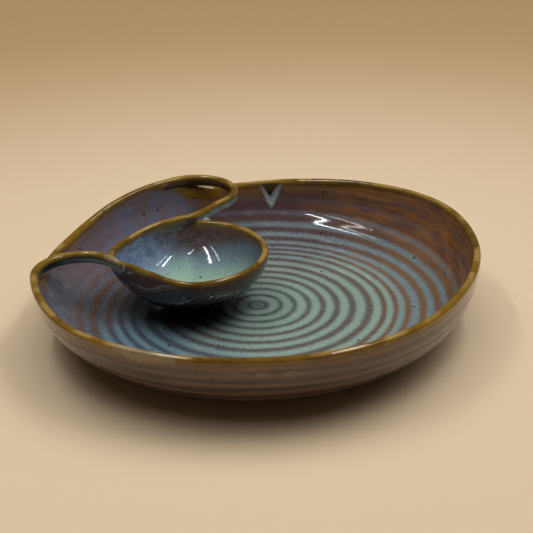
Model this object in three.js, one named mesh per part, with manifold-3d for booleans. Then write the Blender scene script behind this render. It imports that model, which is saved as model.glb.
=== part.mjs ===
import * as THREE from 'three';
import { mergeVertices } from 'three/addons/utils/BufferGeometryUtils.js';
import Module from 'manifold-3d';

// Wheel-thrown stoneware chip and dip platter, in millimetres, +Z up.
// Z is the throwing axis, the table is z = 0, and +Y points to the back of the platter.
// Two strips of the rim are cut free, curled inwards and joined to the dip bowl with slip.

// Platter
const rimRadius = 142.6; // outside of the wall at the rim
const rimHeight = 50; // front rim above the table
const wallThickness = 5.2;
const floorRadius = 98; // flat floor, out to where it turns up into the wall
const floorThickness = 7;
const lowerWallRise = 15; // from the floor to the line of the cuts
const underInset = 10; // from the edge of the floor in to the edge of the flat underside
const footInset = 6; // from there in to the middle of the foot ring
const footWidth = 7;
const footHeight = 3;
const firstRing = 5.6; // radius of the innermost throwing ring
const ringPitch = 9.1;
const ringRelief = 0.8;

// Rim, which rises and falls between the cuts; angles are in degrees from +X
const rightCrest = 2.3; // how far the rim stands above the front rim at the right
const rightCrestAngle = 30;
const rightEaseAngle = -40; // where most of the crest has gone
const frontAngle = -90;
const leftDip = 0.8; // how far the rim lies below the front rim at the left cut
const leftLowEnd = 165; // the rim stays low behind the front strip up to here
const leftLowRise = 1;
const backCrest = 3.8; // above the front rim, where the back strip leaves the wall
const backLowEnd = 95; // the rim stays low behind the back strip up to here

// Strips of rim that curl inwards
const stripHeight = 7.4;
const stripClearance = 3.3; // under a strip, to the rim that it was cut from
const frontCurlAngle = 189.5; // where the front strip leaves the wall
const frontCurlRadius = 26;
const frontCurlTurn = 135;
const backCurlAngle = 114;
const backCurlRadius = 30;
const backCurlTurn = 160;
const backFallStart = 0.4; // share of the back strip's length where its top starts to come down

// Dip bowl
const dipRadius = 51.7; // outside of the bowl at its rim
const dipDrop = 2; // how far its rim lies below the front rim
const dipWall = 4.5;
const dipInset = 46.9; // from the bowl's left side to the outside of the platter
const dipY = 7;
const dipTipAngle = 180;
const dipFrontDraw = 9; // how far the bowl is drawn in in front of its left tip
const dipBackDraw = 4; // and behind it
const dipDrawAngle = 45; // from the tip to the middle of each drawn-in side
const dipDrawSpread = 40;
const dipDrawFade = 3; // how fast the drawing-in fades below the rim
const frontLandingAngle = 205; // round the bowl, where the strips land on it
const backLandingAngle = 105;
const padRadius = 17;
const padThickness = 3.2; // slip between the floor and the middle of the bowl

// V-shaped dart in the inner face of the back wall
const dartAngle = 85;
const dartWidth = 17;
const dartHeight = 15;
const dartDepth = 1.6;

// Slip joints and seam fillets
const slipGap = 0.3;
const seamRadius = 2.4;

// Facets
const latheSegments = 72;
const wallSteps = 5;
const bandStep = 4; // degrees
const archSteps = 4; // round top of a rim
const curlSteps = 9;
const cornerSteps = 800; // tries along a strip for the corner that its seam fills

const wasm = await Module();
wasm.setup();

const { lerp, smoothstep } = THREE.MathUtils;
const degree = Math.PI / 180;
const floorTop = footHeight + floorThickness;
const cutHeight = floorTop + lowerWallRise;
const underRadius = floorRadius - underInset;
const footRadius = underRadius - footInset;
const wallMiddle = rimRadius - wallThickness / 2;
const dipHeight = rimHeight - dipDrop;
const backCrestHeight = rimHeight + backCrest;
const leftRimHeight = rimHeight - leftDip;
const leftLowHeight = leftRimHeight - stripHeight - stripClearance;
const backLowHeight = backCrestHeight - stripHeight - stripClearance;
const gapAngle = slipGap / rimRadius / degree;

const steps = (count) => Array.from({ length: count + 1 }, (_, i) => i / count);
const polar = (radius, angle, height = 0) =>
  new THREE.Vector3(radius * Math.cos(angle * degree), radius * Math.sin(angle * degree), height);

// A closed body from a geometry: shared corners merged, empty triangles dropped, faces outwards.
function closedBody(geometry) {
  const bare = geometry.clone();
  bare.deleteAttribute('normal');
  bare.deleteAttribute('uv');
  const merged = mergeVertices(bare, 1e-4);
  const position = merged.attributes.position;
  const corners = Array.from(merged.index.array);
  const triangles = [];
  let volume = 0;
  const at = (i) => new THREE.Vector3().fromBufferAttribute(position, i);
  for (let i = 0; i < corners.length; i += 3) {
    const [a, b, c] = corners.slice(i, i + 3);
    if (a === b || b === c || c === a) continue;
    volume += at(a).dot(at(b).cross(at(c)));
    triangles.push([a, b, c]);
  }
  merged.setIndex(triangles.flatMap(([a, b, c]) => (volume < 0 ? [a, c, b] : [a, b, c])));
  return merged;
}

function solidOf(geometry) {
  const body = closedBody(geometry);
  const vertProperties = new Float32Array(body.attributes.position.array);
  const triVerts = new Uint32Array(body.index.array);
  return new wasm.Manifold(new wasm.Mesh({ numProp: 3, vertProperties, triVerts }));
}

function geometryOf(solid) {
  const { vertProperties, triVerts } = solid.getMesh();
  const geometry = new THREE.BufferGeometry();
  geometry.setAttribute('position', new THREE.BufferAttribute(new Float32Array(vertProperties), 3));
  geometry.setIndex(new THREE.BufferAttribute(new Uint32Array(triVerts), 1));
  return geometry;
}

// What is left of a body after some cuts, without the crumbs that a cut leaves loose.
function cut(geometry, ...tools) {
  const left = tools.reduce((solid, tool) => solid.subtract(solidOf(tool)), solidOf(geometry));
  return geometryOf(left.decompose().sort((a, b) => b.volume() - a.volume())[0]);
}

const lathe = (profile) =>
  new THREE.LatheGeometry(profile.map(([r, z]) => new THREE.Vector2(r, z)), latheSegments)
    .rotateX(Math.PI / 2);

// A body through a row of like sections, each a loop of [across, height], with flat ends.
function loft(sections, place) {
  const count = sections[0].length;
  const last = (sections.length - 1) * count;
  const index = [];
  for (let start = 0; start < last; start += count) {
    for (let j = 0; j < count; j += 1) {
      const a = start + j;
      const b = start + ((j + 1) % count);
      index.push(a, b, b + count, a, b + count, a + count);
    }
  }
  const cap = (section) =>
    THREE.ShapeUtils.triangulateShape(section.map(([x, y]) => new THREE.Vector2(x, y)), []);
  cap(sections[0]).forEach(([a, b, c]) => index.push(c, b, a));
  cap(sections.at(-1)).forEach(([a, b, c]) => index.push(last + a, last + b, last + c));
  const points = sections.flatMap((section, i) => section.map(([x, y]) => place(i, x, y)));
  return new THREE.BufferGeometry().setFromPoints(points).setIndex(index);
}

// The wall's faces: quarter ellipses that turn up from the floor and stand upright at the rim.
const upright = (height, base) =>
  Math.sqrt(1 - Math.max(0, (rimHeight - height) / (rimHeight - base)) ** 2);
const outerFace = (height) => lerp(underRadius, rimRadius, upright(height, footHeight));
const innerFace = (height) =>
  lerp(floorRadius, rimRadius - wallThickness, upright(height, floorTop));

function turnUp(from, to, base, startRadius) {
  const rise = rimHeight - base;
  const first = Math.asin((startRadius - from) / (to - from));
  const last = Math.acos((rimHeight - cutHeight) / rise);
  return steps(wallSteps).map((t) => {
    const turn = lerp(first, last, t);
    return [from + (to - from) * Math.sin(turn), rimHeight - rise * Math.cos(turn)];
  });
}

// Half circle over a rim of a given half thickness, from its outer to its inner shoulder.
const arch = (middle, shoulder, half) =>
  steps(archSteps).map((t) => [
    middle + half * Math.cos(t * Math.PI),
    shoulder + half * Math.sin(t * Math.PI),
  ]);

function platterFloor() {
  const rings = Math.floor((floorRadius - firstRing) / ringPitch);
  const top = Array.from({ length: rings }, (_, k) => firstRing + k * ringPitch).flatMap((r) => [
    [r, floorTop + ringRelief],
    [r + ringPitch / 2, floorTop],
  ]);
  const [underEdge] = turnUp(underRadius, rimRadius, footHeight, floorRadius);
  const under = [underEdge, [underRadius, footHeight], [0, footHeight]];
  return lathe([[0, floorTop], ...top, [floorRadius, floorTop], ...under]);
}

function footRing() {
  const inside = footRadius - footWidth / 2;
  const outside = footRadius + footWidth / 2;
  return lathe([
    [inside, 0],
    [outside, 0],
    [outside, footHeight],
    [inside, footHeight],
    [inside, 0],
  ]);
}

function lowerWall() {
  const start = floorRadius + slipGap;
  const outer = turnUp(underRadius, rimRadius, footHeight, start);
  const inner = turnUp(floorRadius, rimRadius - wallThickness, floorTop, start);
  return lathe([...outer, ...inner.reverse(), outer[0]]);
}

// Height of the rim between [angle, height] stations, which go round clockwise.
function rimAt(stations, angle) {
  const next = stations.findIndex(([station]) => station <= angle);
  const k = Math.max(1, next);
  const [from, low] = stations[k - 1];
  const [to, high] = stations[k];
  return lerp(low, high, smoothstep((from - angle) / (from - to), 0, 1));
}

// Upper wall along a row of rim stations, standing on the lower wall.
function upperWall(stations) {
  const from = stations[0][0] - gapAngle / 2;
  const to = stations.at(-1)[0] + gapAngle / 2;
  const angles = steps(Math.ceil((from - to) / bandStep)).map((t) => lerp(from, to, t));
  const base = cutHeight + slipGap;
  const sections = angles.map((angle) => {
    const shoulder = rimAt(stations, angle) - wallThickness / 2;
    const heights = steps(wallSteps).map((t) => lerp(base, shoulder, t));
    const half = (outerFace(shoulder) - innerFace(shoulder)) / 2;
    const top = arch(innerFace(shoulder) + half, shoulder, half).slice(1, -1);
    const outer = heights.map((z) => [outerFace(z), z]);
    const inner = heights.map((z) => [innerFace(z), z]).reverse();
    return [...outer, ...top, ...inner];
  });
  return loft(sections, (i, r, z) => polar(r, angles[i], z));
}

// Triangular prism that leans with the inner face and cuts the dart into it.
function dartCutter(rim) {
  const tip = rim - dartHeight;
  const lean = Math.atan2(innerFace(rim) - innerFace(tip), dartHeight);
  const shape = new THREE.Shape([
    new THREE.Vector2(0, 0),
    new THREE.Vector2(dartWidth / 2, dartHeight),
    new THREE.Vector2(dartWidth / 2, 2 * dartHeight),
    new THREE.Vector2(-dartWidth / 2, 2 * dartHeight),
    new THREE.Vector2(-dartWidth / 2, dartHeight),
  ]);
  const prism = new THREE.ExtrudeGeometry(shape, { depth: 2 * dartDepth, bevelEnabled: false });
  return prism
    .translate(0, 0, -dartDepth)
    .rotateX(Math.PI / 2 - lean)
    .rotateZ((dartAngle - 90) * degree)
    .translate(...polar(innerFace(tip), dartAngle, tip).toArray());
}

// Strip with a round top along a plan path, its top set by the place along the path.
function strip(path, topAt, margin = 0, headroom = 0) {
  const half = wallThickness / 2 + margin;
  const places = steps(Math.ceil(path.getLength() / bandStep));
  const sections = places.map((t) => {
    const top = topAt(t) + headroom;
    const bottom = topAt(t) - stripHeight - margin;
    return [[-half, bottom], [half, bottom], ...arch(0, top - half, half)];
  });
  const points = places.map((t) => path.getPointAt(t));
  const headings = places.map((t) => path.getTangentAt(t));
  return loft(sections, (i, across, height) =>
    new THREE.Vector3(
      points[i].x + across * headings[i].y,
      points[i].y - across * headings[i].x,
      height,
    ),
  );
}

// Plan points of a curl that leaves the middle of the wall and turns in clockwise.
function curl(angle, radius, turn) {
  const centre = polar(wallMiddle - radius, angle);
  const first = slipGap / radius / degree;
  return steps(curlSteps).map((t) => polar(radius, angle - lerp(first, turn, t)).add(centre));
}

// Dip bowl: an ellipse of revolution, drawn in beside its left tip.
const dipX = -(rimRadius - dipRadius - dipInset);
const dipBottom = floorTop + ringRelief + slipGap + padThickness + slipGap;
const dipDraw = (angle) => {
  const turn = THREE.MathUtils.euclideanModulo(angle - dipTipAngle + 180, 360) - 180;
  const away = Math.min(1, Math.abs(Math.abs(turn) - dipDrawAngle) / dipDrawSpread);
  return ((turn > 0 ? dipFrontDraw : dipBackDraw) / 2) * (1 + Math.cos(Math.PI * away));
};
const dipPoint = (angle, inside) =>
  polar(dipRadius - dipDraw(angle) - inside, angle).add(new THREE.Vector3(dipX, dipY, 0));

function drawnIn(geometry) {
  const position = geometry.attributes.position;
  for (let i = 0; i < position.count; i += 1) {
    const x = position.getX(i);
    const y = position.getY(i);
    const r = Math.hypot(x, y);
    const drop = THREE.MathUtils.clamp((dipHeight - position.getZ(i)) / (dipHeight - dipBottom), 0, 1);
    const share = (1 - drop ** 2) ** dipDrawFade * dipDraw(Math.atan2(y, x) / degree);
    const scale = r > 0 ? (r - share) / r : 1;
    position.setXY(i, x * scale, y * scale);
  }
  return geometry.translate(dipX, dipY, 0);
}

const dipCurve = (radius, bottom) =>
  steps(2 * wallSteps).map((t) => [
    radius * Math.sin((t * Math.PI) / 2),
    dipHeight - (dipHeight - bottom) * Math.cos((t * Math.PI) / 2),
  ]);

function dipBowl() {
  const outer = dipCurve(dipRadius, dipBottom);
  const inner = dipCurve(dipRadius - dipWall, dipBottom + dipWall).reverse();
  return drawnIn(lathe([...outer, ...inner]));
}

// All that the bowl fills and the space above it, grown by the slip gap.
function dipSpace() {
  const ceiling = backCrestHeight + stripHeight;
  const outer = dipCurve(dipRadius + slipGap, dipBottom - slipGap);
  return drawnIn(lathe([...outer, [dipRadius + slipGap, ceiling], [0, ceiling]]));
}

function dipPad() {
  const bottom = floorTop + ringRelief + slipGap;
  const disc = lathe([[0, bottom], [padRadius, bottom], [padRadius, dipHeight], [0, dipHeight]]);
  const reach = 1.5 * padThickness + bottom;
  const lid = lathe([[0, reach], [dipRadius, reach], [dipRadius, 2 * dipHeight], [0, 2 * dipHeight]]);
  return cut(disc.translate(dipX, dipY, 0), lid.translate(dipX, dipY, 0), dipSpace());
}

// Where one side of a strip first comes up to the bowl; side is 1 at its right and -1 at its left.
function corner(path, side) {
  const reach = side * (wallThickness / 2 + seamRadius / 3);
  const places = steps(cornerSteps).map((t) => {
    const heading = path.getTangentAt(t);
    return new THREE.Vector3(reach * heading.y, -reach * heading.x, 0).add(path.getPointAt(t));
  });
  return places.find(({ x, y }) => {
    const angle = Math.atan2(y - dipY, x - dipX) / degree;
    return Math.hypot(x - dipX, y - dipY) < dipRadius - dipDraw(angle) + seamRadius / 3;
  });
}

// Drop of slip in a corner, trimmed by the pieces that it joins.
function seam(place, height, share, ...neighbours) {
  const drop = new THREE.SphereGeometry(seamRadius, 16, 10)
    .scale(1, 1, (share * height) / seamRadius)
    .translate(place.x, place.y, dipHeight - share * height);
  return cut(drop, ...neighbours);
}

const mainRim = [
  [backCurlAngle, backLowHeight],
  [backLowEnd, backLowHeight],
  [rightCrestAngle, rimHeight + rightCrest],
  [rightEaseAngle, rimHeight + rightCrest / 4],
  [frontAngle, rimHeight],
  [frontCurlAngle - 360, leftRimHeight],
];
const backLeftRim = [
  [frontCurlAngle, leftLowHeight],
  [leftLowEnd, leftLowHeight + leftLowRise],
  [backCurlAngle, backCrestHeight],
];

const frontPath = new THREE.CatmullRomCurve3([
  ...curl(frontCurlAngle, frontCurlRadius, frontCurlTurn),
  dipPoint(frontLandingAngle, 2 * dipWall),
]);
const backPath = new THREE.CatmullRomCurve3([
  ...curl(backCurlAngle, backCurlRadius, backCurlTurn),
  ...steps(4).map((t) => dipPoint(lerp(backLandingAngle, dipTipAngle, t), dipWall / 2 + slipGap)),
]);
const backStripTop = (t) => lerp(backCrestHeight, dipHeight, smoothstep(t, backFallStart, 1));

const frontStrip = (...room) => strip(frontPath, () => leftRimHeight, ...room);
const backStrip = (...room) => strip(backPath, backStripTop, ...room);

// Glaze colours: celadon where it pools, plum on the walls, amber where it thins on the rims.
const celadon = 0x7f938c;
const plum = 0x5b4645;
const amber = 0x85622a;
const slate = 0x5e6a72;
const bareClay = 0x6b5343;

const group = new THREE.Group();

function addPiece(name, geometry, color, roughness = 0.2) {
  const material = new THREE.MeshStandardMaterial({ color, roughness, metalness: 0 });
  const mesh = new THREE.Mesh(closedBody(geometry), material);
  mesh.name = name;
  group.add(mesh);
}

addPiece('platter_floor', platterFloor(), celadon);
addPiece('foot_ring', footRing(), bareClay, 0.8);
addPiece('lower_wall', lowerWall(), plum);
addPiece('main_wall', cut(upperWall(mainRim), dartCutter(rimAt(mainRim, dartAngle))), plum);
addPiece('back_left_wall', upperWall(backLeftRim), plum);
addPiece('front_swirl', cut(frontStrip(), dipSpace()), amber);
addPiece('back_swirl', backStrip(), amber);
addPiece('dip_bowl', cut(dipBowl(), backStrip(slipGap, stripHeight)), slate);
addPiece('dip_bowl_pad', dipPad(), bareClay, 0.6);
addPiece(
  'front_swirl_seam',
  seam(corner(frontPath, 1), stripHeight, 1 / 2, frontStrip(slipGap), dipSpace()),
  celadon,
);
addPiece(
  'back_swirl_seam',
  seam(corner(backPath, -1), stripHeight, 1 / 3, backStrip(slipGap), dipSpace()),
  celadon,
);

export default group;
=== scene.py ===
import math

import bpy
import numpy as np
from mathutils import Matrix, Vector


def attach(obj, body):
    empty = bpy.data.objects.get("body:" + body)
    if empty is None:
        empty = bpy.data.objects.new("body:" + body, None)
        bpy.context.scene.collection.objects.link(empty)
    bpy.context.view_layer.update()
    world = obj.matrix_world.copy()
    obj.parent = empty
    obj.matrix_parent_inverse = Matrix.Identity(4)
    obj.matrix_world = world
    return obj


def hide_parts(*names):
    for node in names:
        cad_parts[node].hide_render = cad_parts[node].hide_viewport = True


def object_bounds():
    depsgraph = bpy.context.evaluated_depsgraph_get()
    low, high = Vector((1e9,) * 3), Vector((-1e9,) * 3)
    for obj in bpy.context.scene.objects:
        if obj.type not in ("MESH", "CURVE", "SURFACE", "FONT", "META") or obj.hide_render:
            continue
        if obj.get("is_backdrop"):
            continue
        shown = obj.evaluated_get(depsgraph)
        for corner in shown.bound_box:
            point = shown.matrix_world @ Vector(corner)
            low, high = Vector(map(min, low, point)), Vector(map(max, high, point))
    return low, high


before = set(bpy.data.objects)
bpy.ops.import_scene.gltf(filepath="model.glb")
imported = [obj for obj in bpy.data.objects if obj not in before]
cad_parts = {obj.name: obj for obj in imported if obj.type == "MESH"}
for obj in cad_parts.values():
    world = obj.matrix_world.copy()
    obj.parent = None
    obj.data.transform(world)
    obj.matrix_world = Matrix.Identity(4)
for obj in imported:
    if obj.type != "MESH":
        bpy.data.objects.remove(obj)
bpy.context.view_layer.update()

# Platter floor: the flat bottom of a wheel-thrown stoneware platter, in one clay with its wall.
# The fingers leave closed throwing rings; a runny celadon glaze pools between them and breaks
# to brown where it thins on their crests.

MM = 0.001
floor_edge = 98.0
floor_top = 10.0
foot_height = 3.0
under_edge = 88.0
ring_pitch = 9.1
ring_offset = -3.5
wall_ring_pitch = 10.0  # along the wall, above the floor's edge
ring_relief = 0.35
ring_wander = 3.2       # the rings stand a little further out near this radius
wander_radius = 78.0
wander_spread = 14.0
rim_radius = 142.6
rim_height = 50.0
wall_thickness = 5.2
wall_reach = rim_radius - wall_thickness - floor_edge  # how far the inner face leans out


def smooth(value, low, high):
    """Eases from 0 at low to 1 at high."""
    share = np.clip((value - low) / (high - low), 0, 1)
    return share * share * (3 - 2 * share)


def ring_turn(along):
    """Counts the throwing rings out from the middle, along the floor and on up the wall."""
    flat = np.minimum(along, floor_edge)
    wander = ring_wander * np.exp(-(((flat - wander_radius) / wander_spread) ** 2))
    return (flat - wander - ring_offset) / ring_pitch + (along - flat) / wall_ring_pitch


def ring_crest(along):
    """1 on the crest of a throwing ring and 0 in the groove beside it."""
    return 0.5 + 0.5 * np.cos(2 * np.pi * ring_turn(along))


def inner_face(height):
    """Radius of the wall's inner face, a quarter of an ellipse up from the floor's edge."""
    level = np.clip((rim_height - height) / (rim_height - floor_top), 0, 1)
    return floor_edge + wall_reach * np.sqrt(1 - level ** 2)


def select_only(piece):
    bpy.ops.object.select_all(action="DESELECT")
    piece.select_set(True)
    bpy.context.view_layer.objects.active = piece


def put_in(name, data):
    """Puts a mesh, a lamp or a camera into the scene."""
    thing = bpy.data.objects.new(name, data)
    bpy.context.scene.collection.objects.link(thing)
    return thing


def new_piece(name, points, edges=(), faces=()):
    """A new object of the given points, which are in millimetres."""
    mesh = bpy.data.meshes.new(name)
    mesh.from_pydata([tuple(p) for p in np.asarray(points, float) * MM], list(edges), list(faces))
    piece = put_in(name, mesh)
    select_only(piece)
    return piece


def mark(piece, name, values):
    """Stores one number for each point, for the glaze to read."""
    layer = piece.data.attributes.get(name) or piece.data.attributes.new(name, "FLOAT", "POINT")
    layer.data.foreach_set("value", np.asarray(values, np.float32))


def marks(piece, name):
    values = np.zeros(len(piece.data.vertices), np.float32)
    piece.data.attributes[name].data.foreach_get("value", values)
    return values.astype(float)


def points_of(piece):
    """The piece's points in millimetres, one row each."""
    flat = np.zeros(3 * len(piece.data.vertices))
    piece.data.vertices.foreach_get("co", flat)
    return flat.reshape(-1, 3) / MM


def move_points(piece, points):
    piece.data.vertices.foreach_set("co", (np.asarray(points) * MM).ravel())
    piece.data.update()


def close_up():
    """Joins the doubled points of the active piece and turns its faces outwards."""
    bpy.ops.object.mode_set(mode="EDIT")
    bpy.ops.mesh.select_all(action="SELECT")
    bpy.ops.mesh.remove_doubles(threshold=1e-6)
    bpy.ops.mesh.normals_make_consistent(inside=False)
    bpy.ops.object.mode_set(mode="OBJECT")


def throw(name, profile, steps, centre=(0.0, 0.0), **layers):
    """Turns a profile of [radius, height] rows round an upright axis, as clay turns on the wheel."""
    piece = new_piece(name, [(r, 0, z) for r, z in profile], [(i, i + 1) for i in range(len(profile) - 1)])
    for layer, values in layers.items():
        mark(piece, layer, values)
    wheel = piece.modifiers.new("wheel", "SCREW")
    wheel.steps = wheel.render_steps = steps
    wheel.use_merge_vertices = True
    wheel.merge_threshold = 1e-6
    bpy.ops.object.modifier_apply(modifier="wheel")
    piece.location = (centre[0] * MM, centre[1] * MM, 0)
    bpy.ops.object.transform_apply(location=True)
    close_up()
    return piece


def finish_surface(piece, sharp=50):
    select_only(piece)
    bpy.ops.object.shade_smooth_by_angle(angle=math.radians(sharp))


def seat(piece, slot, *nodes):
    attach(piece, "root")
    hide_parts(*nodes)


class Tone:
    """A value or colour that varies over a glaze. Operators add Math nodes to its material."""

    def __init__(self, tree, socket=None):
        self.tree = tree
        self.socket = socket

    def node(self, kind, settings=None, inputs=None, output=0):
        made = self.tree.nodes.new("ShaderNode" + kind)
        for name, value in (settings or {}).items():
            setattr(made, name, value)
        for key, value in (inputs or {}).items():
            if isinstance(value, Tone):
                self.tree.links.new(value.socket, made.inputs[key])
            else:
                made.inputs[key].default_value = value
        return Tone(self.tree, made.outputs[output] if made.outputs else None)

    def math(self, operation, *values):
        return self.node("Math", {"operation": operation}, dict(enumerate(values)))

    def __add__(self, other):
        return self.math("ADD", self, other)

    def __sub__(self, other):
        return self.math("SUBTRACT", self, other)

    def __rsub__(self, other):
        return self.math("SUBTRACT", other, self)

    def __mul__(self, other):
        return self.math("MULTIPLY", self, other)

    __radd__ = __add__
    __rmul__ = __mul__

    def eased(self, low, high):
        """0 where this is below low, 1 where it is above high, and smooth between."""
        ends = {"Value": self, "From Min": low, "From Max": high}
        return self.node("MapRange", {"interpolation_type": "SMOOTHSTEP"}, ends)

    def blend(self, first, second):
        """The first colour where this is 0 and the second where it is 1."""
        return self.node("Mix", {"data_type": "RGBA"}, {0: self, 6: first, 7: second}, 2)


def colour(red, green, blue):
    """A colour from its display values of 0 to 255."""
    def linear(value):
        share = value / 255
        return share / 12.92 if share <= 0.04045 else ((share + 0.055) / 1.055) ** 2.4
    return (linear(red), linear(green), linear(blue), 1)


class Glaze:
    """A material: fields over the piece that its colours are mixed from, and the shader they end in."""

    def __init__(self, name):
        self.material = bpy.data.materials.new(name)
        self.material.use_nodes = True
        tree = self.material.node_tree
        tree.nodes.clear()
        self.start = Tone(tree)
        self.place = self.start.node("TexCoord", output="Object")
        self.x, self.y, self.z = (
            self.start.node("SeparateXYZ", {}, {0: self.place}, axis) * (1 / MM) for axis in "XYZ"
        )
        squares = self.x * self.x + self.y * self.y
        self.radius = squares.math("SQRT", squares)

    def noise(self, size, stretch=(1, 1, 1), detail=2.0, shift=0.0):
        """Noise with features of a size in millimetres, stretched along the axes."""
        scale = [1 / (size * s * MM) for s in stretch]
        moved = self.start.node("VectorMath", {"operation": "MULTIPLY_ADD"},
                                {0: self.place, 1: scale, 2: (shift, shift, shift)})
        return self.start.node("TexNoise", {}, {"Vector": moved, "Scale": 1.0, "Detail": detail})

    def layer(self, name):
        return self.start.node("Attribute", {"attribute_name": name}, output="Fac")

    def specks(self, colours, cell=15.0, size=0.9):
        """Sparse dark iron specks over a colour."""
        dots = self.start.node("TexVoronoi", {}, {"Vector": self.place, "Scale": 1 / (cell * MM)})
        return dots.eased(0.7 * size / cell, 1.3 * size / cell).blend(colour(22, 20, 22), colours)

    def fire(self, colours, relief, depth=0.08, roughness=0.07):
        """Ends the material in the glossy shader; relief is in units of depth, in millimetres."""
        bump = self.start.node("Bump", {}, {
            "Strength": 1.0, "Distance": depth * MM, "Height": relief}, "Normal")
        shader = self.start.node("BsdfPrincipled", {}, {
            "Base Color": colours, "Roughness": roughness, "IOR": 1.52, "Normal": bump,
            "Coat Weight": 0.35, "Coat Roughness": 0.04})
        self.start.node("OutputMaterial", {}, {"Surface": shader})
        return self.material


lap = 2.0               # how far the floor runs on under the foot of the wall
floor_radii = np.linspace(0, floor_edge + lap, 201)
floor_crest = ring_crest(floor_radii) * smooth(floor_radii, 1, 5)
onto_wall = np.clip(floor_radii - floor_edge, 0, None) / wall_reach
floor_level = floor_top + (rim_height - floor_top) * (1 - np.sqrt(1 - onto_wall ** 2))
floor_profile = list(zip(floor_radii, floor_level + ring_relief * floor_crest))
floor_under = [(floor_edge + lap, 2 * foot_height), (under_edge, foot_height),
               (under_edge / 2, foot_height), (0, foot_height)]
floor = throw("glazed_floor", floor_profile + floor_under, 240,
              crest=list(floor_crest) + [0] * len(floor_under),
              under=[0] * len(floor_profile) + [1] * len(floor_under))
points = points_of(floor)
radius = np.hypot(points[:, 0], points[:, 1])
turn = np.arctan2(points[:, 1], points[:, 0])
wobble = 0.5 * np.cos(2 * turn + 0.8) + 0.35 * np.cos(3 * turn + 2.1)
wobble *= smooth(radius, 6, 40) * (1 - smooth(radius, 80, floor_edge))
points[:, :2] *= (1 + wobble / np.maximum(radius, 1))[:, None]
move_points(floor, points)
finish_surface(floor)


def ringed(glaze):
    """Celadon pools between the rings; their crests go from grey-green at the middle to brown."""
    grain = glaze.noise(1.1, detail=5)
    mottle = glaze.noise(10, detail=3)
    drift = glaze.noise(40, detail=2, shift=3.7)
    leftward = (glaze.x * -1 - glaze.y * 0.35 + (drift - 0.5) * 60).eased(10, 90)
    backward = (glaze.y - glaze.x * 0.35 + (drift - 0.5) * 50).eased(18, 88)
    corner = (glaze.y * 0.55 - glaze.x + (mottle - 0.5) * 40).eased(60, 100)
    bare = 0.7 - glaze.radius.eased(24, 50) * 0.14 - glaze.radius.eased(92, 114) * 0.12
    soft = leftward * 0.08 + 0.46
    thin = (glaze.layer("crest") + (grain - 0.5) * 0.7 + (mottle - 0.5) * 0.5 - bare).eased(soft * -1, soft)
    pool = glaze.radius.eased(0, 10).blend(colour(98, 112, 104), colour(148, 169, 155))
    pool = glaze.radius.eased(80, 102).blend(pool, colour(122, 140, 144))
    pool = backward.blend(pool, colour(120, 130, 135))
    pool = leftward.blend(pool, colour(104, 133, 145))
    pool = corner.blend(pool, colour(86, 86, 96))
    crest = glaze.radius.eased(22, 46).blend(colour(80, 93, 88), colour(102, 93, 85))
    crest = glaze.radius.eased(66, 100).blend(crest, colour(126, 93, 68))
    crest = backward.blend(crest, colour(86, 67, 66))
    crest = leftward.blend(crest, colour(67, 74, 88))
    crest = corner.blend(crest, colour(96, 68, 54))
    colours = thin.blend(pool, crest)
    fleck = glaze.noise(1.7, detail=2, shift=9.1)
    colours = ((1 - fleck.eased(0.32, 0.54)) * 0.26).blend(colours, colour(72, 78, 78))
    return (fleck.eased(0.5, 0.7) * (0.32 - thin * 0.2)).blend(colours, colour(160, 172, 160)), grain, mottle


bowl_x, bowl_y = -44.0, 7.0  # axis of the dip bowl, round which shade is painted on the floor
painted_shade_core, painted_shade_edge = 24, 54
painted_shade_shift = 5          # the painted shade lies a little to the left of the axis
glaze = Glaze("floor_glaze")
colours, grain, mottle = ringed(glaze)
across, deep_in = glaze.x - bowl_x + painted_shade_shift, glaze.y - bowl_y
from_bowl = across * across + deep_in * deep_in
from_bowl = from_bowl.math("SQRT", from_bowl) + (mottle - 0.5) * 14
# Painted shade: the floor glaze goes near black round the bowl's axis, where the bowl's shadow falls.
colours = (from_bowl.eased(painted_shade_core, painted_shade_edge) * 0.92 + 0.08).blend(colour(24, 20, 20), colours)
colours = glaze.layer("under").eased(0.3, 0.7).blend(glaze.specks(colours), colour(96, 76, 66))
floor.data.materials.append(glaze.fire(colours, grain * 0.15 + mottle))
seat(floor, "floor_glaze", "platter_floor")

# Platter wall: thrown up from the floor in one curve to a rounded rim, then pressed a little out of
# round. Its rim is cut through at two places, and stands low behind each strip that was freed there.
# The glaze runs plum-brown with lavender bands, and breaks to amber on the rim.

front_cut = 189.5       # degrees from +X, where the front strip leaves the wall
back_cut = 114.0
front_hook = 49.2       # height of the rim where each strip leaves it
back_hook = 53.8
back_low = 47.6         # height of the rim behind the back strip
rim_stations = [        # [degrees, height], round from one cut to the other
    [front_cut - 360, front_hook], [-130, 49.0], [-90, 50.0], [-40, 50.5], [0, 51.5], [28, 52.4],
    [50, 50.8], [76, 46.4], [96, 43.1], [102, 42.8], [108, 44.8], [back_cut, back_low],
]
low_stations = [
    [back_cut, back_hook], [125, 52.0], [136, 48.2], [148, 42.6], [158, 39.6], [165, 39.0], [front_cut, 38.5],
]
dart_angle = 85.0       # a V pressed into the inner face of the back wall
dart_width = 17.0
dart_height = 15.0
dart_depth = 2.6
presses = [[29, 4.0, 20], [-27, -3.6, 24], [-139, 2.4, 15], [-92, -1.2, 14]]  # degrees, out, spread


def through(stations, where):
    """A smooth line through [place, value] stations."""
    at, value = np.array(stations, float).T
    slope = np.gradient(value, at)
    k = np.clip(np.searchsorted(at, where) - 1, 0, len(at) - 2)
    span = at[k + 1] - at[k]
    t = np.clip((where - at[k]) / span, 0, 1)
    return ((1 + 2 * t) * (1 - t) ** 2 * value[k] + t * (1 - t) ** 2 * span * slope[k]
            + t * t * (3 - 2 * t) * value[k + 1] + t * t * (t - 1) * span * slope[k + 1])


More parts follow.
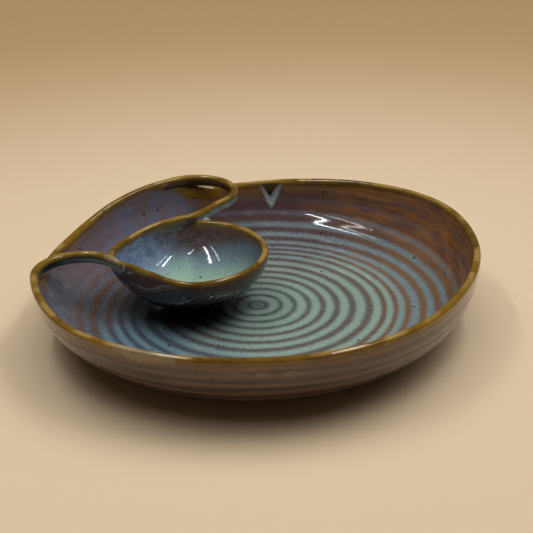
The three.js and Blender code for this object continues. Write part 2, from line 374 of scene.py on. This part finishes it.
half_wall = wall_thickness / 2
shoulder = rim_height - half_wall
wall_rise = rim_height - floor_top
outer_reach, outer_rise = rim_radius - under_edge, rim_height - foot_height
inner_turn = np.linspace(math.asin(lap / wall_reach), math.acos(half_wall / wall_rise), 70)
inner_rows = [(floor_edge + wall_reach * math.sin(a), rim_height - wall_rise * math.cos(a))
              for a in inner_turn]
arch_turn = np.linspace(0, math.pi, 17)[1:-1]
arch_rows = [(rim_radius - half_wall - half_wall * math.cos(a), shoulder + half_wall * math.sin(a))
             for a in arch_turn]
outer_turn = np.linspace(math.acos(half_wall / outer_rise), math.asin(12 / outer_reach), 40)
outer_rows = [(under_edge + outer_reach * math.sin(a), rim_height - outer_rise * math.cos(a))
              for a in outer_turn]
wall_profile = np.array(inner_rows + arch_rows + outer_rows + inner_rows[:1])
inside = np.array([1.0] * len(inner_rows) + [0.5] * len(arch_rows) + [0.0] * len(outer_rows) + [1.0])
wall = throw("platter_wall", wall_profile, 640, inside=inside)

points = points_of(wall)
inside = marks(wall, "inside")
radius = np.hypot(points[:, 0], points[:, 1])
angle = np.degrees(np.arctan2(points[:, 1], points[:, 0]))
angle = np.where(angle < front_cut - 360 - 0.1, angle + 360, angle)
rim = np.where(angle <= back_cut + 0.1, through(rim_stations, angle), through(low_stations, angle))
height = points[:, 2] + (rim - rim_height) * np.clip((points[:, 2] - 14) / (shoulder - 14), 0, 1)
radius += inner_face(height) - inner_face(points[:, 2])
below = rim - height

climb = np.concatenate([[0], np.cumsum(np.hypot(*np.diff(inner_rows, axis=0).T))])
along = floor_edge + lap + np.interp(height, [z for r, z in inner_rows], climb)
waver = 0.9 * np.sin(np.radians(2 * angle + 40)) + 0.6 * np.sin(np.radians(5 * angle))
crest = ring_crest(along + waver * smooth(height, 11, 18))
level = np.clip((rim_height - height) / wall_rise, 0, 1)
ring = ring_relief * crest * (1 - 0.7 * smooth(height, 12, 28)) * smooth(below, 3, 9)
ridge = 0.5 + 0.34 * np.sin((height + waver) * 2 * math.pi / 7.2)
ridge += 0.16 * np.sin((height - waver) * 2 * math.pi / 4.6 + 1)
ridge_rise = 0.7 * (ridge - 0.5) * smooth(height, 8, 13) * smooth(below, 3, 8)
beside = np.radians(angle - dart_angle) * (rim_radius - wall_thickness)
dart_half = dart_width / 2 * (1 - below / dart_height)
pressed = smooth(dart_half - np.abs(beside), -0.8, 0.8) * np.clip(below / dart_height, 0, 1)
press = sum(out * np.exp(-(((angle - at) / spread) ** 2)) for at, out, spread in presses)
reach = radius + press * smooth(height, 6, rim_height)
reach += np.where(inside > 0.6, dart_depth * pressed - ring * np.sqrt(1 - level ** 2), 0)
reach += np.where(inside < 0.4, ridge_rise, 0)
height += np.where(inside > 0.6, ring * level, 0)
move_points(wall, np.column_stack([
    reach * np.cos(np.radians(angle)), reach * np.sin(np.radians(angle)), height]))
mark(wall, "crest", np.where(inside > 0.6, crest, ridge))
mark(wall, "below", below)
past_cut = 1 - smooth(angle, back_cut, back_cut + 12)
tone_rim = np.where(angle < back_cut, rim, rim + (back_low - rim) * past_cut)
shelf = smooth(angle, 97, 103) * (1 - smooth(angle, back_cut - 3, back_cut + 2))
tone = below - smooth(inside, 0.5, 0.6) * ((rim - tone_rim) + 5 * shelf * smooth(below, 2, 6))
mark(wall, "amber", np.maximum(tone, 0))
finish_surface(wall)


def amber(glaze, below):
    """Amber where the glaze thins on a rim: olive and gold patches, and a paler line along the top that is
    partly thin glaze and partly painted highlight.
    """
    patch = glaze.noise(12, detail=4, shift=7.3)
    nick = glaze.noise(3.2, detail=2, shift=2.9)
    # Painted highlight in part: a pale line along the rim's top, partly thin glaze on the crest.
    worn_and_highlight = (1 - below.eased(0.1, 1.6)) * glaze.noise(20, detail=2, shift=4.4).eased(0.45, 0.62)
    broad = glaze.noise(55, detail=2, shift=1.7)
    gold = (patch * 0.5 + broad * 0.5).eased(0.34, 0.62).blend(colour(92, 66, 16), colour(138, 104, 30))
    gold = worn_and_highlight.blend(below.eased(1.8, 4.2).blend(gold, colour(84, 56, 16)), colour(168, 134, 68))
    return (nick.eased(0.7, 0.82) * 0.6).blend(gold, colour(66, 44, 14))


def inner_wall(glaze, below):
    """The rings fade up the wall into plum, lavender and brown; the top is a warm brown."""
    rings, grain, mottle = ringed(glaze)
    drift = glaze.noise(45, detail=2, shift=5.1)
    runs = glaze.noise(6, stretch=(1, 1, 5), detail=3)
    cloud = glaze.noise(9, detail=5, shift=8.8)
    pooled = 1 - (glaze.layer("crest") + (grain - 0.5) * 0.9 + (mottle - 0.5) * 0.9).eased(0.0, 0.55)
    right = (glaze.x - glaze.y * 0.55 + (drift - 0.5) * 60).eased(-50, 30)
    left = (glaze.x * -1 + (drift - 0.5) * 24).eased(34, 66)
    far_right = (glaze.x - glaze.y * 0.9).eased(20, 90)
    streaks = glaze.noise(3.5, stretch=(6, 6, 1), detail=4, shift=1.3).eased(0.36, 0.64)
    brown = right.blend(colour(86, 62, 60), streaks.blend(colour(108, 76, 62), colour(144, 96, 54)))
    grey = right.blend(colour(104, 102, 116), far_right.blend(colour(122, 128, 134), colour(136, 118, 104)))
    upper = (pooled * (1 - glaze.z.eased(15, 32) * 0.8)).blend(brown, grey)
    shade = (runs * 0.5 + cloud * 0.5).eased(0.38, 0.62).blend(colour(114, 99, 103), colour(108, 108, 128))
    ash = (cloud * 0.7 + grain * 0.3).eased(0.36, 0.7).blend(colour(88, 88, 98), colour(117, 117, 116))
    shade = (glaze.x * -1 + (cloud - 0.5) * 40).eased(96, 120).blend(shade, colour(110, 94, 97))
    shade = (glaze.y + (drift - 0.5) * 30).eased(10, 40).blend(ash, shade)
    upper = left.blend(upper, shade)
    high = (glaze.z + (runs - 0.5) * 8 + left * 4).eased(13, 27)
    tops = (below + (runs - 0.5) * 12 + left * 4).eased(4, 14)
    warm = right.blend(colour(124, 88, 52), streaks.blend(colour(132, 90, 56), colour(164, 112, 62)))
    warm = left.blend(warm, colour(120, 97, 88))
    return tops.blend(warm, high.blend(rings, upper)), grain, mottle


def outer_wall(glaze, below, grain):
    """Mauve-brown, paler on the ridges that the fingers left, with a pale run of glaze at the front."""
    cloud = glaze.noise(14, stretch=(2, 2, 1), detail=4, shift=6.2)
    pale = (glaze.layer("crest") + (cloud - 0.5) * 1.1 + (grain - 0.5) * 0.9).eased(0.16, 0.84)
    mauve = pale.blend(colour(46, 33, 31), colour(92, 67, 60))
    return (below + (cloud - 0.5) * 7).eased(4, 10).blend(colour(108, 74, 36), mauve)


def in_arc(glaze, start, end, soft):
    """1 between two angles round the platter, in degrees from -180 to 180."""
    turn = glaze.y.math("ARCTAN2", glaze.y, glaze.x) * (180 / math.pi)
    return turn.eased(start, start + soft[0]) * (1 - turn.eased(end - soft[1], end))


def dart_marks(glaze, colours, inside, below):
    """Painted shade darkening the hollow inside the V towards its tip, and celadon that gathered along its
    arms and ran from its tip.
    """
    turn = glaze.y.math("ARCTAN2", glaze.y, glaze.x) - math.radians(dart_angle)
    beside = turn * (rim_radius - wall_thickness)
    blur = (glaze.noise(3, detail=3) - 0.5) * 2.4
    arm = beside.math("ABSOLUTE", beside) - dart_width / 2 * (1 - below * (1 / dart_height))
    within = inside.eased(0.55, 0.7) * (1 - below.eased(dart_height + 1, dart_height + 5))
    ended = 1 - below.eased(dart_height - 2, dart_height)
    # Painted shade: the hollow of the V goes from amber to near black towards its tip.
    hollow = (arm * -1 + blur * 0.3).eased(-0.4, 1.4) * within * ended
    colours = hollow.blend(colours, below.eased(4, 10).blend(colour(96, 64, 28), colour(26, 15, 10)))
    width = below.eased(3, 14) * 1.3 + (1 - beside.eased(-1, 1)) * 1.1
    gathered = 1 - (arm.math("ABSOLUTE", arm - 0.4 + blur) - width).eased(-1.0, 2.0)
    broken = glaze.noise(2.2, detail=3, shift=3.3).eased(0.25, 0.6) * 0.5 + 0.5
    strength = (below.eased(0.5, 7) * 0.7 + 0.25) * broken
    return (gathered * within * strength).blend(colours, colour(138, 154, 154))


glaze = Glaze("wall_glaze")
inside, below = glaze.layer("inside"), glaze.layer("amber")
inner, grain, mottle = inner_wall(glaze, below)
outer = outer_wall(glaze, below, grain)
body = inside.eased(0.3, 0.7).blend(outer, inner)
rim_line = (below + (mottle - 0.5) * 4 + (grain - 0.5) * 1.5 - (1 - inside) * 1.2).eased(1.6, 5.4)
colours = rim_line.blend(amber(glaze, below), body)
streak = glaze.noise(5, stretch=(3, 3, 1), detail=3, shift=2.2)
run = 1 - (below + (streak - 0.5) * 6).eased(3.5, 6.5)
cream = in_arc(glaze, -128, -107.5, (8, 1.5)) * (1 - inside.eased(0.5, 0.8)) * run
band = below.eased(3, 6) * (1 - below.eased(8, 13))
drips = in_arc(glaze, -100, -76, (8, 8)) * (1 - inside.eased(0.1, 0.4)) * streak.eased(0.46, 0.66)
cream += drips * band * 0.8
colours = (cream * 0.55).blend(colours, colour(150, 138, 114))
colours = dart_marks(glaze, colours, inside, below)
wall.data.materials.append(glaze.fire(glaze.specks(colours, cell=18), grain * 0.15 + mottle))
seat(wall, "wall_glaze", "lower_wall", "main_wall", "back_left_wall")

# Foot ring: turned from the leather-hard underside and wiped clean of glaze, so that the platter
# doesn't stick to the kiln shelf. Bare stoneware, matt and slightly gritty.

foot_middle = 82.0
foot_width = 7.0
foot_round = 0.8
half_foot = foot_width / 2
foot_profile = [(foot_middle - half_foot - 1.2, foot_height + 0.2), (foot_middle - half_foot, 1.6),
                (foot_middle - half_foot, foot_round), (foot_middle - half_foot + foot_round, 0),
                (foot_middle + half_foot - foot_round, 0), (foot_middle + half_foot, foot_round),
                (foot_middle + half_foot, 1.6), (foot_middle + half_foot + 1.2, foot_height + 0.2)]
foot = throw("turned_foot", foot_profile + foot_profile[:1], 180)
finish_surface(foot, 40)

clay = Glaze("bare_clay")
grit = clay.noise(0.6, detail=4)
tone = clay.noise(14, detail=3)
colours = (tone * 0.6 + grit * 0.4).eased(0.35, 0.65).blend(colour(112, 88, 70), colour(136, 110, 88))
foot.data.materials.append(clay.fire(colours, grit, depth=0.2, roughness=0.75))
seat(foot, "bare_clay", "foot_ring")

# Dip bowl: a small bowl thrown apart, drawn to a teardrop and bedded on the floor. Its back rim
# rises into the strip that lies along it. Celadon pools inside it; its rim breaks to amber.

bowl_rim = 49.45        # radius to the middle of its rim
bowl_wall = 4.5
bowl_height = 48.0
bowl_bottom = 14.6
bowl_back_draw = 4.6
bowl_front_draw = 11.0
bowl_draw_fade = 3      # how fast the drawing-in fades below the rim
bowl_rise = 5.9         # how far the rim climbs to meet the back strip


def bowl_draw(turn):
    """How far the bowl's rim is drawn in at an angle round it, in degrees from 0 to 360."""
    back = smooth(turn, 84, 100) * (1 - smooth(turn, 146, 176))
    front = smooth(turn, 182, 218) * (1 - smooth(turn, 234, 284))
    return bowl_back_draw * back + bowl_front_draw * front


def bowl_top(turn):
    """Height of the bowl's rim at an angle round it."""
    fall = np.clip((182 - turn) / 86, 0, 1) ** 1.5
    return bowl_height + bowl_rise * np.minimum(fall, smooth(turn, 82, 97))


half_bowl = bowl_wall / 2
bowl_shoulder = bowl_height - half_bowl
turns = np.linspace(0, math.pi / 2, 41)
bowl_inner = [((bowl_rim - half_bowl) * math.sin(a),
               bowl_shoulder - (bowl_shoulder - bowl_bottom - bowl_wall) * math.cos(a)) for a in turns]
bowl_arch = [(bowl_rim - half_bowl * math.cos(a), bowl_shoulder + half_bowl * math.sin(a)) for a in arch_turn]
bowl_outer = [((bowl_rim + half_bowl) * math.sin(a),
               bowl_shoulder - (bowl_shoulder - bowl_bottom) * math.cos(a)) for a in turns[::-1]]
bowl_profile = bowl_inner + bowl_arch + bowl_outer
bowl_inside = [1.0] * len(bowl_inner) + [0.5] * len(bowl_arch) + [0.0] * len(bowl_outer)
bowl = throw("glazed_bowl", bowl_profile, 240, (bowl_x, bowl_y), inside=bowl_inside)
points = points_of(bowl)
offset = points[:, :2] - (bowl_x, bowl_y)
radius = np.hypot(*offset.T)
turn = np.degrees(np.arctan2(offset[:, 1], offset[:, 0])) % 360
drop = np.clip((bowl_shoulder - points[:, 2]) / (bowl_shoulder - bowl_bottom), 0, 1)
reach = radius - bowl_draw(turn) * (1 - drop ** 2) ** bowl_draw_fade
height = points[:, 2] + (bowl_top(turn) - bowl_height) * smooth(points[:, 2], 24, bowl_height)
move_points(bowl, np.column_stack([
    bowl_x + reach * np.cos(np.radians(turn)), bowl_y + reach * np.sin(np.radians(turn)), height]))
mark(bowl, "below", bowl_top(turn) - height)
finish_surface(bowl)

glaze = Glaze("bowl_glaze")
grain = glaze.noise(1.1, detail=5)
mottle = glaze.noise(8, detail=3)
drift = glaze.noise(20, detail=2, shift=2.6)
cloud = glaze.noise(5, detail=4, shift=6.6)
inside, below = glaze.layer("inside"), glaze.layer("below")
across, deep_in = glaze.x - bowl_x, glaze.y - bowl_y
turned = across.math("ARCTAN2", deep_in, across)
low = (below + (drift - 0.5) * 8 + (grain - 0.5) * 8 - deep_in * 0.25).eased(6, 28)
left = (across * -1 + (drift - 0.5) * 24 + (cloud - 0.5) * 8).eased(4, 36)
back = (deep_in - below * 1.1 + (drift - 0.5) * 12 + (cloud - 0.5) * 8 - across * 0.2).eased(4, 26)
front = (deep_in * -1 - across * 0.25 + (drift - 0.5) * 16 + (cloud - 0.5) * 12).eased(-40, 4)
dish = low.blend(colour(98, 114, 122), front.blend(colour(128, 162, 158), colour(170, 200, 164)))
plum = (cloud * 0.5 + mottle * 0.5).eased(0.36, 0.68).blend(colour(84, 62, 60), colour(94, 80, 86))
lavender = (cloud * 0.6 + drift * 0.4).eased(0.36, 0.62).blend(colour(99, 116, 152), colour(130, 152, 180))
dish = (left * 0.85).blend(back.blend(dish, plum), lavender)
fleck = glaze.noise(1.7, detail=2, shift=9.1)
dish = ((1 - fleck.eased(0.32, 0.54)) * 0.2).blend(dish, colour(78, 84, 86))
dish = (fleck.eased(0.5, 0.7) * 0.16).blend(dish, colour(168, 180, 172))
dish = (below + (mottle - 0.5) * 5 + left * 2).eased(2.5, 8.5).blend(colour(118, 82, 44), dish)
diagonal = turned * 26 + glaze.z * 1.5 + (mottle - 0.5) * 5
trimmed = diagonal.math("SINE", diagonal)
# Below the skirt the outside is dark slate glaze, darkened to near black as painted shade.
slate_and_shade = (mottle * 0.5 + cloud * 0.5 + trimmed * 0.06).eased(0.36, 0.64)
slate_and_shade = slate_and_shade.blend(colour(22, 20, 26), colour(40, 31, 34))
skirt = (below + (mottle - 0.5) * 6).eased(5, 15).blend(colour(74, 49, 38), slate_and_shade)
body = inside.eased(0.3, 0.7).blend(skirt, dish)
rim_line = (below + (mottle - 0.5) * 2.2 + (grain - 0.5) * 1.2).eased(1.6, 4.8)
colours = rim_line.blend(amber(glaze, below), body)
relief = grain * 0.15 + mottle + trimmed * 0.03 * (1 - inside.eased(0.1, 0.3)) * below.eased(8, 14)
bowl.data.materials.append(glaze.fire(glaze.specks(colours, cell=14), relief))
seat(bowl, "bowl_glaze", "dip_bowl")

# Bed of the bowl: a pad of slip squeezed out under its rounded bottom when it was set on the floor,
# smoothed to a hollow fillet and glazed over with the rest.

pad_radius = 15.0
pad_flare = 5.0
pad_rise = 5.5
pad_foot = floor_top + ring_relief / 2
pad_profile = [(pad_radius + pad_flare * (1 - s) ** 2, pad_foot + pad_rise * s)
               for s in np.linspace(0, 1, 12)]
pad = throw("bowl_bed", [(0, floor_top)] + pad_profile + [(0, pad_profile[-1][1])], 96, (bowl_x, bowl_y))
finish_surface(pad)
# The pad is marked far below the rim, so it takes the bowl's near-black lower outside colour: painted shade
# under the bowl.
mark(pad, "below", np.full(len(pad.data.vertices), 30.0))
pad.data.materials.append(bowl.data.materials[0])
seat(pad, "bowl_glaze", "dip_bowl_pad")

# Front swirl: the strip of rim freed at the left cut, curled inwards and laid against the dip bowl,
# where it runs on as the bowl's front rim. Amber along its round top, celadon down its sides.

strip_height = 7.4
front_curl = 26.0
front_turn = 135.0
wall_middle = rim_radius - half_wall


def polar(radius, degrees):
    return radius * np.array([math.cos(math.radians(degrees)), math.sin(math.radians(degrees))])


def curl(cut, radius, turn, run_in):
    """Plan points of a strip that comes along inside the wall and curls inwards, clockwise."""
    centre = polar(wall_middle - radius, cut)
    wall_run = [polar(wall_middle, cut + a) for a in np.linspace(run_in, 0, 5)[:-1]]
    return wall_run + [centre + polar(radius, cut - a) for a in np.linspace(0, turn, 15)]


def bowl_line(turns, inside=0.0):
    return [np.array([bowl_x, bowl_y]) + polar(bowl_rim - inside - bowl_draw(t), t) for t in turns]


def flowing(points, spacing=1.2):
    """A smooth plan line through points, as evenly spaced points."""
    rows = np.array(points)
    steps = np.concatenate([[0], np.cumsum(np.linalg.norm(np.diff(rows, axis=0), axis=1))])
    fine = np.linspace(0, steps[-1], int(steps[-1] / spacing))
    return np.column_stack([through(list(zip(steps, row)), fine) for row in rows.T])


def strip(name, line, top, half, tall, lean):
    """Sweeps an upright strip with a round top and softened lower edges along a plan line."""
    heading = np.gradient(line, axis=0)
    heading /= np.linalg.norm(heading, axis=1)[:, None]
    right = np.column_stack([heading[:, 1], -heading[:, 0]])
    soft = 1.3
    arch = [(math.cos(a), math.sin(a) - 1) for a in np.linspace(0, math.pi, 17)]
    quarter = np.linspace(0, math.pi / 2, 5)
    side = np.linspace(0, 1, 8)[1:-1]
    rows, below, inner, share, faces = [], [], [], [], []
    for i in range(len(line)):
        h, deep = half[i], tall[i]
        section = [(h * c, h * s) for c, s in arch]
        section += [(-h, -h - (deep - h - soft) * s) for s in side]
        edge = [(h - soft * (1 - math.cos(a)), -deep + soft - soft * math.sin(a)) for a in quarter]
        section += [(-across, down) for across, down in edge] + edge[::-1]
        section += [(h, -deep + soft + (deep - h - soft) * s) for s in side]
        for across, down in section:
            shift = across - lean[i] * down
            rows.append([*(line[i] + right[i] * shift), top[i] + down])
            below.append(-down)
            inner.append(0.5 + 0.5 * across / h)
            share.append(i / (len(line) - 1))
    count = len(rows) // len(line)
    for i in range(len(line) - 1):
        for j in range(count):
            a, b = i * count + j, i * count + (j + 1) % count
            faces.append((a, b, b + count, a + count))
    faces += [tuple(range(count))[::-1], tuple(range(len(rows) - count, len(rows)))]
    piece = new_piece(name, rows, (), faces)
    close_up()
    mark(piece, "below", below)
    mark(piece, "inside", inner)
    mark(piece, "along", share)
    finish_surface(piece)
    return piece


def strip_glaze(name, hollow_side, outer_side, pale_from):
    """Amber over the strip's round top, going cream where its thinned end laps the bowl."""
    glaze = Glaze(name)
    grain = glaze.noise(1.1, detail=5)
    mottle = glaze.noise(7, detail=3)
    below = glaze.layer("below")
    lapped = (glaze.layer("along") + (mottle - 0.5) * 0.12).eased(pale_from, pale_from + 0.07)
    top = (lapped * 0.6).blend(amber(glaze, below), colour(164, 146, 112))
    sides = glaze.layer("inside").eased(0.4, 0.6).blend(outer_side(glaze, mottle), hollow_side(glaze, mottle))
    colours = (below + (mottle - 0.5) * 2 + (grain - 0.5)).eased(2.0, 4.0).blend(top, sides)
    return glaze.fire(glaze.specks(colours, cell=14), grain * 0.15 + mottle)


def teal_side(glaze, mottle):
    """Celadon along the middle of the strip's hollow side, dark teal at its edges; the dark teal at its root
    is painted shade.
    """
    below = glaze.layer("below")
    band = (below + (mottle - 0.5) * 1.5).eased(3.0, 4.4) * (1 - below.eased(5.6, 7.0))
    # Painted shade: the hollow side goes dark teal towards its root, at the left.
    lit = band * (glaze.x + (mottle - 0.5) * 14).eased(-130, -104)
    return lit.blend(colour(46, 54, 60), colour(122, 142, 134))


def plum_side(glaze, mottle):
    return mottle.eased(0.35, 0.65).blend(colour(94, 84, 88), colour(82, 66, 62))


def brown_side(glaze, mottle):
    """Amber-brown, with painted shade going near black towards the lower edge."""
    shaded_lower = (glaze.layer("below") + (mottle - 0.5) * 3).eased(3, 6.5)
    # Painted shade: near black towards the strip's lower edge.
    return shaded_lower.blend(colour(94, 64, 28), colour(36, 24, 16))


def celadon_side(glaze, mottle):
    """Celadon until the strip reaches the bowl, plum inside it."""
    out = (glaze.x + (mottle - 0.5) * 6).eased(-42, -35)
    celadon = mottle.eased(0.3, 0.7).blend(colour(104, 124, 124), colour(140, 158, 152))
    return out.blend(colour(82, 60, 54), celadon)


root_dip = 0.9          # how far a strip lies below the rim at its root
root_lean = 0.14        # slope of its sides there, as the wall's
front_line = flowing(curl(front_cut, front_curl, front_turn, 9) + bowl_line([201, 208, 215]))
share = np.linspace(0, 1, len(front_line))
emerge = smooth(share, 0.0, 0.18)
merge = smooth(share, 0.78, 1.0)
front_half = half_wall * (0.7 + 0.3 * emerge) * (1 - 0.45 * merge)
front_top = front_hook - root_dip * (1 - emerge) - 3.0 * merge
front_lean = root_lean * (1 - smooth(share, 0.1, 0.45))
front_strip = strip("front_strip", front_line, front_top, front_half, strip_height - 1.0 * merge, front_lean)
front_strip.data.materials.append(strip_glaze("front_swirl_glaze", teal_side, plum_side, 0.74))
seat(front_strip, "rim_glaze", "front_swirl")

# Back swirl: the strip freed at the back cut, which turns back on itself in a hairpin, lies down on
# the bowl's back rim and sinks to its left tip. Same clay, same glaze as the front one.

back_curl = 30.0
back_turn = 160.0
back_line = flowing(curl(back_cut, back_curl, back_turn, 7) + bowl_line([97, 106, 116, 126, 136], 0.3))
share = np.linspace(0, 1, len(back_line))
emerge = smooth(share, 0.0, 0.1)
merge = smooth(share, 0.8, 1.0)
back_turns = np.degrees(np.arctan2(back_line[:, 1] - bowl_y, back_line[:, 0] - bowl_x)) % 360
back_half = half_wall * (0.7 + 0.3 * emerge) * (1 - 0.35 * merge)
landed = smooth(share, 0.62, 0.74)
on_bowl = bowl_top(np.maximum(back_turns, 97)) - 1.6 * merge
back_top = (1 - landed) * (back_hook - root_dip * (1 - emerge)) + landed * on_bowl
back_lean = root_lean * (1 - smooth(share, 0.06, 0.3))
back_strip = strip("back_strip", back_line, back_top, back_half, strip_height - 1.0 * merge, back_lean)
back_strip.data.materials.append(strip_glaze("back_swirl_glaze", brown_side, celadon_side, 0.9))
seat(back_strip, "rim_glaze", "back_swirl")

# Slip seams: beads of slip wiped into the corners where each strip meets the bowl, smoothed with a
# brush. The glaze collects on them in pale celadon beads.

for name, place, size, node in (
    ("front_slip", (*bowl_line([205], -half_bowl + 0.4)[0], 44.0), (1.0, 1.0, 4.0), "front_swirl_seam"),
    ("back_slip", (-34.5, 58.5, 45.5), (3.0, 3.0, 3.6), "back_swirl_seam"),
):
    bead = throw(name, [(math.sin(a), math.cos(a)) for a in np.linspace(0, math.pi, 25)], 48)
    points = points_of(bead)
    sag = 1 + 0.18 * np.sin(3.1 * points[:, 2] + 1) + 0.1 * np.sin(2 * points[:, 0] + points[:, 1] * 3)
    move_points(bead, points * sag[:, None] * size + place)
    finish_surface(bead)
    glaze = Glaze(name + "_glaze")
    grain = glaze.noise(0.9, detail=3)
    mottle = glaze.noise(4, detail=3)
    colours = (mottle + (grain - 0.5) * 0.5).eased(0.35, 0.65)
    colours = colours.blend(colour(150, 164, 148), colour(112, 124, 118))
    bead.data.materials.append(glaze.fire(colours, grain * 0.15 + mottle))
    seat(bead, "floor_glaze", node)

# Table: a plain sheet of warm paper, wide enough to fill the view from any side, that curves up at
# its far edge. It is pale round the platter; further out it is darkened to tan, a painted shade.

table_radius, sweep_radius = 3200.0, 700.0
shade_start, shade_end = 200, 850  # radii where the painted shade starts and ends darkening the paper to tan
table_rows = [(0, 0), (600, 0), (1600, 0)]
table_rows += [(table_radius + sweep_radius * math.sin(a), sweep_radius * (1 - math.cos(a)))
               for a in np.linspace(0, math.pi / 2, 25)]
table = throw("table", table_rows, 96)
finish_surface(table)
paper = Glaze("paper")
colours = paper.radius.eased(shade_start, shade_end).blend(colour(232, 206, 170), colour(205, 168, 122))
shader = paper.start.node("BsdfPrincipled", {}, {
    "Base Color": colours, "Roughness": 0.9, "Specular IOR Level": 0.2})
paper.start.node("OutputMaterial", {}, {"Surface": shader})
table.data.materials.append(paper.material)
table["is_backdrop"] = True

# Light: two pairs of long lamps above the platter, to its left and right, whose streaks show in the
# glaze, and a soft even light from above and from the right.

lamp_height = 0.86
lamp_length = 0.6
lamp_back = 0.06        # how far behind the middle of the platter
lamp_tilt = 0.6         # share of the turn that would face the middle
lamps = [[-0.455, 0.016, 0.35], [-0.315, 0.018, 1.2], [0.315, 0.018, 1.4], [0.455, 0.016, 0.4]]
for x, width, power in lamps:
    lamp = bpy.data.lights.new("lamp", "AREA")
    lamp.shape = "RECTANGLE"
    lamp.size, lamp.size_y = width, lamp_length
    lamp.energy = power
    lamp.color = (0.9, 0.95, 1.0)
    holder = put_in("lamp", lamp)
    holder.location = (x, lamp_back, lamp_height)
    holder.rotation_euler = (0, lamp_tilt * math.atan2(x, lamp_height), 0)

for lean, spread, power in (((-0.05, 0, 0), 70, 1.35), ((-0.2, 0.7, 0), 40, 0.5)):
    sky = bpy.data.lights.new("sky", "SUN")
    sky.energy = power
    sky.angle = math.radians(spread)
    holder = put_in("sky", sky)
    holder.rotation_euler = lean
    holder.visible_glossy = False

room = bpy.data.worlds.new("room")
room.use_nodes = True
room.node_tree.nodes["Background"].inputs["Color"].default_value = (1.0, 0.96, 0.92, 1)
room.node_tree.nodes["Background"].inputs["Strength"].default_value = 0.05
bpy.context.scene.world = room
bpy.context.scene.view_settings.view_transform = "Standard"

# Camera: where the photograph was taken from, a little above the platter and turned by a degree.

frame_width = 533       # pixels
focal_length = 1100     # pixels
film_width = 36
eye = (0, -0.6394, 0.3357)
yaw, pitch, roll = (math.radians(a) for a in (0.54, 24.98, 1.5))
ahead = Vector((math.sin(yaw) * math.cos(pitch), math.cos(yaw) * math.cos(pitch), -math.sin(pitch)))
level = Vector((math.cos(yaw), -math.sin(yaw), 0))
down = ahead.cross(level)
right = level * math.cos(roll) + down * math.sin(roll)
up = level * math.sin(roll) - down * math.cos(roll)
lens = bpy.data.cameras.new("camera")
lens.sensor_width = film_width
lens.lens = film_width * focal_length / frame_width
camera = put_in("camera", lens)
turned = Matrix((right, up, -ahead)).transposed().to_4x4()
camera.matrix_world = Matrix.Translation(eye) @ turned
bpy.context.scene.camera = camera

low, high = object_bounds()
